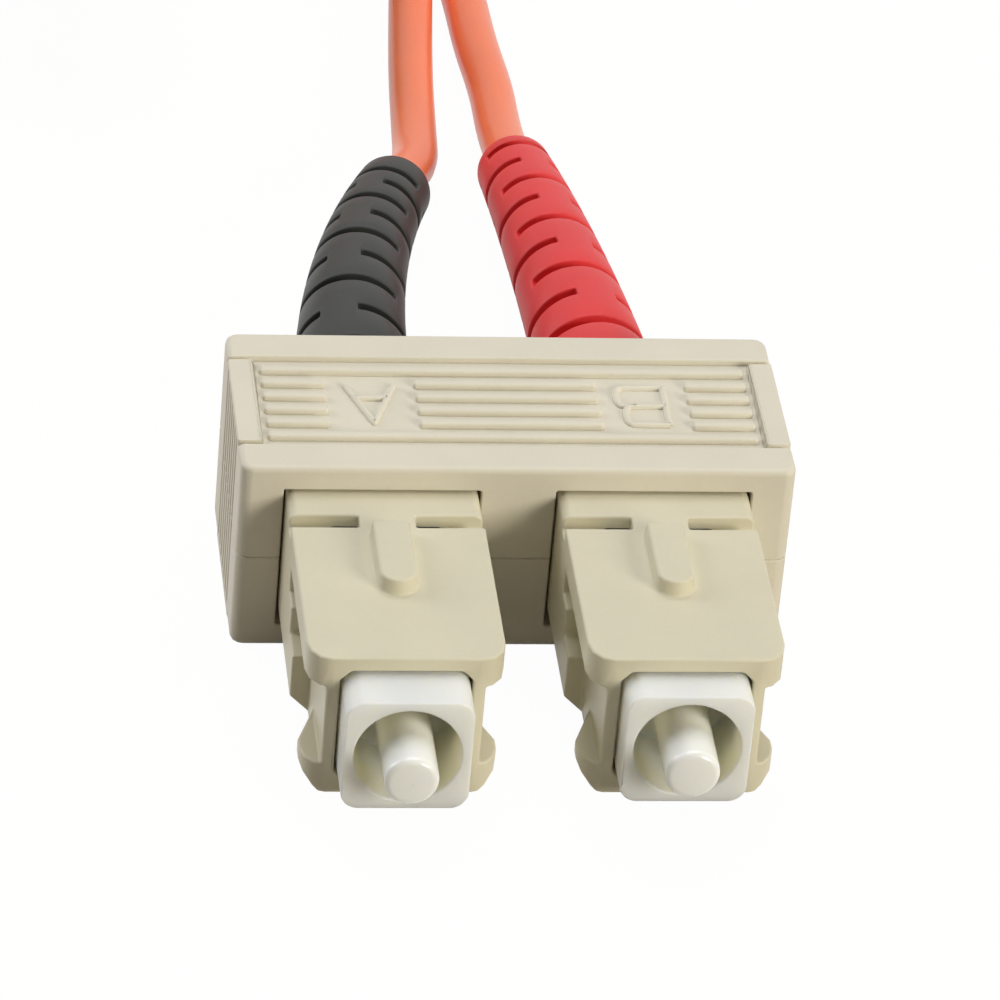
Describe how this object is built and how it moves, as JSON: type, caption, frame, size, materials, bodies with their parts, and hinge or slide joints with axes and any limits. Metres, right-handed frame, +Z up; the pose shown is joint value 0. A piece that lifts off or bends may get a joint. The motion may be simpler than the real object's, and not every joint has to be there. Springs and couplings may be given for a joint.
{
  "type": "fibre optic patch cable",
  "caption": "Duplex fibre optic patch cable: push-pull plugs with ceramic ferrules in a ribbed clip, slotted bend relief boots, and a zip cord coiled to the far connector.",
  "frame": {"origin": "middle of the near clip's underside, on the surface it lies on", "axes": "+Y from the near plugs' tips towards the cable, +X from channel A to channel B, +Z up"},
  "size_m": [0.064, 0.1509, 0.0155],
  "materials": {
    "clip_plastic": "satin moulded",
    "sleeve_plastic": "satin moulded",
    "frame_plastic": "smooth moulded",
    "ferrule_ceramic": "polished",
    "turned_metal": "turned",
    "spring_steel": "drawn",
    "crimp_brass": "pressed",
    "boot_black": "satin",
    "boot_red": "satin",
    "jacket_orange": "satin",
    "tie_plastic": "ribbed"
  },
  "bodies": {
    "cable": {"near_plug_frame_a": "frame_plastic", "near_boot_a": "boot_black", "near_leg_a": "jacket_orange", "near_spring_a": "spring_steel", "near_stop_body_a": "turned_metal", "near_crimp_sleeve_a": "crimp_brass", "near_plug_frame_b": "frame_plastic", "near_boot_b": "boot_red", "near_leg_b": "jacket_orange", "near_spring_b": "spring_steel", "near_stop_body_b": "turned_metal", "near_crimp_sleeve_b": "crimp_brass", "far_plug_frame_a": "frame_plastic", "far_boot_a": "boot_black", "far_leg_a": "jacket_orange", "far_plug_frame_b": "frame_plastic", "far_boot_b": "boot_red", "far_leg_b": "jacket_orange", "zip_lead": "jacket_orange", "zip_coil": "jacket_orange", "tie_1": "tie_plastic", "tie_2": "tie_plastic"},
    "near_grip": {"near_clip_upper": "clip_plastic", "near_clip_lower": "clip_plastic", "near_grip_sleeve_a": "sleeve_plastic", "near_grip_sleeve_b": "sleeve_plastic"},
    "near_ferrule_a": {"near_ferrule_a": "ferrule_ceramic", "near_ferrule_flange_a": "turned_metal"},
    "near_ferrule_b": {"near_ferrule_b": "ferrule_ceramic", "near_ferrule_flange_b": "turned_metal"},
    "far_grip": {"far_clip_upper": "clip_plastic", "far_clip_lower": "clip_plastic", "far_grip_sleeve_a": "sleeve_plastic", "far_grip_sleeve_b": "sleeve_plastic"},
    "far_ferrule_a": {"far_ferrule_a": "ferrule_ceramic"},
    "far_ferrule_b": {"far_ferrule_b": "ferrule_ceramic"}
  },
  "joints": [
    {"name": "near_grip_slide", "type": "slide", "parent": "cable", "child": "near_grip", "axis": [0, 1, 0], "range_m": [-0.00065, 0.0012]},
    {"name": "near_ferrule_a_slide", "type": "slide", "parent": "cable", "child": "near_ferrule_a", "axis": [0, 1, 0], "range_m": [0, 0.001], "stiffness_N_per_m": 5000, "deforming": ["near_spring_a"]},
    {"name": "near_ferrule_b_slide", "type": "slide", "parent": "cable", "child": "near_ferrule_b", "axis": [0, 1, 0], "range_m": [0, 0.001], "stiffness_N_per_m": 5000, "deforming": ["near_spring_b"]},
    {"name": "far_grip_slide", "type": "slide", "parent": "cable", "child": "far_grip", "axis": [0, 1, 0], "range_m": [-0.00065, 0.0012]},
    {"name": "far_ferrule_a_slide", "type": "slide", "parent": "cable", "child": "far_ferrule_a", "axis": [0, 1, 0], "range_m": [0, 0.001], "stiffness_N_per_m": 5000},
    {"name": "far_ferrule_b_slide", "type": "slide", "parent": "cable", "child": "far_ferrule_b", "axis": [0, 1, 0], "range_m": [0, 0.001], "stiffness_N_per_m": 5000}
  ]
}
